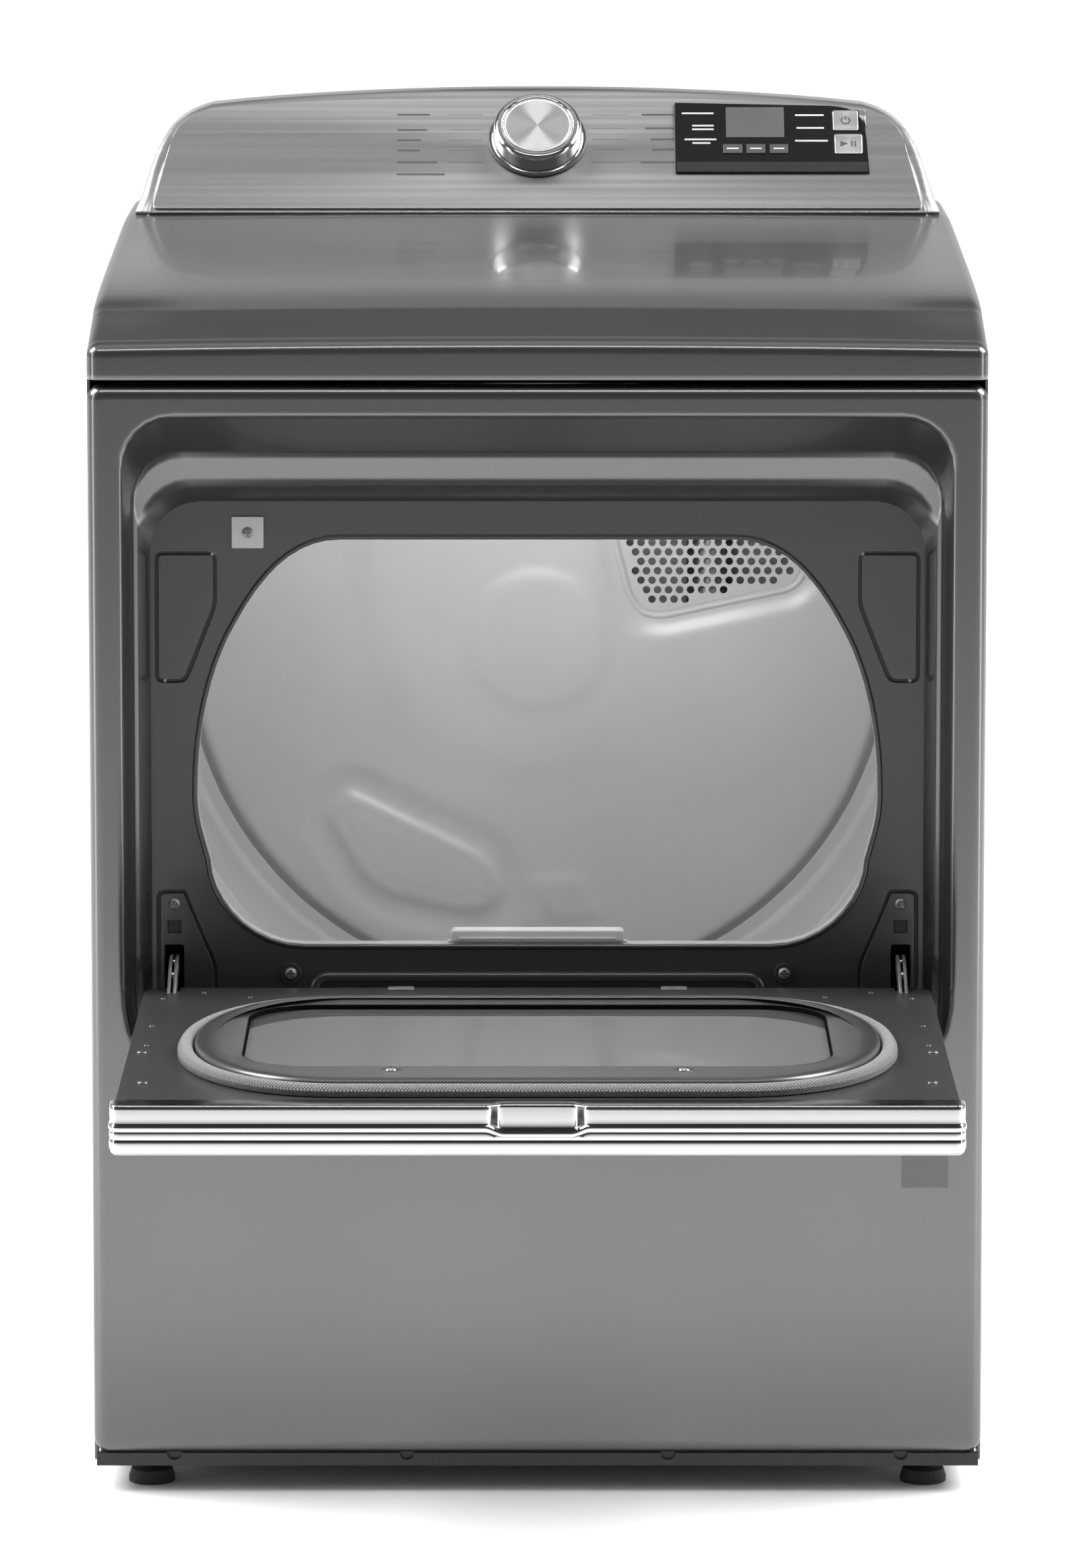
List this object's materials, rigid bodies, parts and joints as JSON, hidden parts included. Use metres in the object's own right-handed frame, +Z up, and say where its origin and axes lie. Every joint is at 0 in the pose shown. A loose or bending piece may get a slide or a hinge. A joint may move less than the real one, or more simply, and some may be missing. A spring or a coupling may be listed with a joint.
{
  "type": "clothes dryer",
  "caption": "Front-loading clothes dryer with a drop-down door lying open, a sloped console with knob, display and keys, a turning drum and a rear exhaust collar.",
  "frame": {"origin": "middle of the base of the whole object's box, door open, on the floor", "axes": "+Z up, -Y out of the front towards the open door, +X to the right seen from the front"},
  "size_m": [0.686, 1.163, 1.038],
  "materials": {
    "slate_paint": "metallic slate gloss paint",
    "bulkhead_grey": "dark grey satin enamel",
    "chrome": "bright polished",
    "brushed_silver": "fine horizontal brushing",
    "drum_grey": "light grey powder coat",
    "galvanised": "zinc coated, dull",
    "black_gloss": "black gloss",
    "dark_plastic": "black moulded",
    "white_plastic": "white moulded",
    "felt": "woven grey felt",
    "rubber": "black rubber",
    "board_green": "circuit board",
    "lamp_lens": "frosted lens",
    "dark_glass": "dark tinted glass"
  },
  "bodies": {
    "cabinet": {"base_pan": "galvanised", "blower_housing": "galvanised", "bumper_plug_left": "rubber", "bumper_plug_right": "rubber", "catch_plate": "galvanised", "console_fascia": "brushed_silver", "console_housing": "brushed_silver", "control_board": "board_green", "display_lens": "dark_glass", "display_overlay": "black_gloss", "door_switch": "dark_plastic", "drum_belt": "rubber", "drum_front_seal": "felt", "drum_lamp": "lamp_lens", "exhaust_duct": "galvanised", "front_bulkhead": "bulkhead_grey", "front_panel": "slate_paint", "heater_box": "galvanised", "heating_element": "galvanised", "idler_arm": "galvanised", "inlet_grille": "drum_grey", "left_side_panel": "slate_paint", "lint_duct": "dark_plastic", "motor_bracket": "galvanised", "motor_housing": "galvanised", "rear_bulkhead": "drum_grey", "rear_panel": "galvanised", "right_side_panel": "slate_paint", "terminal_cover": "galvanised", "toe_strip": "dark_plastic", "top_panel": "slate_paint"},
    "drum": {"drum_shell": "drum_grey", "drum_baffle_1": "drum_grey", "drum_baffle_2": "drum_grey", "drum_baffle_3": "drum_grey"},
    "motor_rotor": {"motor_shaft": "galvanised", "blower_wheel": "dark_plastic"},
    "idler_wheel": {"idler_pulley": "white_plastic"},
    "left_roller": {"drum_roller_left": "rubber"},
    "right_roller": {"drum_roller_right": "rubber"},
    "door": {"door_outer_panel": "slate_paint", "door_inner_panel": "bulkhead_grey", "door_window": "dark_glass", "door_seal": "felt", "door_handle": "chrome", "door_magnet": "dark_plastic", "hinge_arm_left": "galvanised", "hinge_arm_right": "galvanised"},
    "cycle_knob": {"knob": "chrome"},
    "knob_push": {"knob_button": "brushed_silver"},
    "power_key": {"power_button": "brushed_silver"},
    "start_key": {"start_button": "brushed_silver"},
    "option_1": {"option_key_1": "dark_plastic"},
    "option_2": {"option_key_2": "dark_plastic"},
    "option_3": {"option_key_3": "dark_plastic"},
    "lint_filter": {"lint_screen": "white_plastic"},
    "foot_front_left": {"front_left_foot": "rubber"},
    "foot_front_right": {"front_right_foot": "rubber"},
    "foot_rear_left": {"rear_left_foot": "rubber"},
    "foot_rear_right": {"rear_right_foot": "rubber"}
  },
  "joints": [
    {"name": "drum_spin", "type": "hinge", "parent": "cabinet", "child": "drum", "pos_m": [0, 0.2125, 0.574], "axis": [0, 1, 0], "continuous": true},
    {"name": "motor_spin", "type": "hinge", "parent": "cabinet", "child": "motor_rotor", "pos_m": [0.13, 0.1165, 0.14], "axis": [0, 1, 0], "continuous": true},
    {"name": "idler_spin", "type": "hinge", "parent": "cabinet", "child": "idler_wheel", "pos_m": [0.20141, 0.2065, 0.199], "axis": [0, 1, 0], "continuous": true},
    {"name": "left_roller_spin", "type": "hinge", "parent": "cabinet", "child": "left_roller", "pos_m": [-0.20293, 0.4515, 0.28418], "axis": [0, 1, 0], "continuous": true},
    {"name": "right_roller_spin", "type": "hinge", "parent": "cabinet", "child": "right_roller", "pos_m": [0.20293, 0.4515, 0.28418], "axis": [0, 1, 0], "continuous": true},
    {"name": "door_hinge", "type": "hinge", "parent": "cabinet", "child": "door", "pos_m": [0, -0.1515, 0.356], "axis": [-1, 0, 0], "range_deg": [0, 90]},
    {"name": "knob_turn", "type": "hinge", "parent": "cabinet", "child": "cycle_knob", "pos_m": [0, 0.4587, 0.9982], "axis": [0, -0.7071, 0.7071], "continuous": true},
    {"name": "knob_button_press", "type": "slide", "parent": "cycle_knob", "child": "knob_push", "axis": [0, 0.7071, -0.7071], "range_m": [0, 0.0015], "stiffness_N_per_m": 2000, "springref_m": -0.002},
    {"name": "power_press", "type": "slide", "parent": "cabinet", "child": "power_key", "axis": [0, 0.7071, -0.7071], "range_m": [0, 0.001], "stiffness_N_per_m": 800, "springref_m": -0.001},
    {"name": "start_press", "type": "slide", "parent": "cabinet", "child": "start_key", "axis": [0, 0.7071, -0.7071], "range_m": [0, 0.001], "stiffness_N_per_m": 800, "springref_m": -0.001},
    {"name": "option_1_press", "type": "slide", "parent": "cabinet", "child": "option_1", "axis": [0, 0.7071, -0.7071], "range_m": [0, 0.001], "stiffness_N_per_m": 800, "springref_m": -0.001},
    {"name": "option_2_press", "type": "slide", "parent": "cabinet", "child": "option_2", "axis": [0, 0.7071, -0.7071], "range_m": [0, 0.001], "stiffness_N_per_m": 800, "springref_m": -0.001},
    {"name": "option_3_press", "type": "slide", "parent": "cabinet", "child": "option_3", "axis": [0, 0.7071, -0.7071], "range_m": [0, 0.001], "stiffness_N_per_m": 800, "springref_m": -0.001},
    {"name": "lint_screen_lift", "type": "slide", "parent": "cabinet", "child": "lint_filter", "axis": [0, 0, 1], "range_m": [0, 0.28]},
    {"name": "front_left_foot_screw", "type": "slide", "parent": "cabinet", "child": "foot_front_left", "axis": [0, 0, 1], "range_m": [-0.02, 0]},
    {"name": "front_right_foot_screw", "type": "slide", "parent": "cabinet", "child": "foot_front_right", "axis": [0, 0, 1], "range_m": [-0.02, 0]},
    {"name": "rear_left_foot_screw", "type": "slide", "parent": "cabinet", "child": "foot_rear_left", "axis": [0, 0, 1], "range_m": [-0.02, 0]},
    {"name": "rear_right_foot_screw", "type": "slide", "parent": "cabinet", "child": "foot_rear_right", "axis": [0, 0, 1], "range_m": [-0.02, 0]}
  ],
  "couplings": [
    {"joint": "motor_spin", "follows": "drum_spin", "ratio": 24.295},
    {"joint": "idler_spin", "follows": "drum_spin", "ratio": -12.171},
    {"joint": "left_roller_spin", "follows": "drum_spin", "ratio": -8.4267},
    {"joint": "right_roller_spin", "follows": "drum_spin", "ratio": -8.4267}
  ]
}
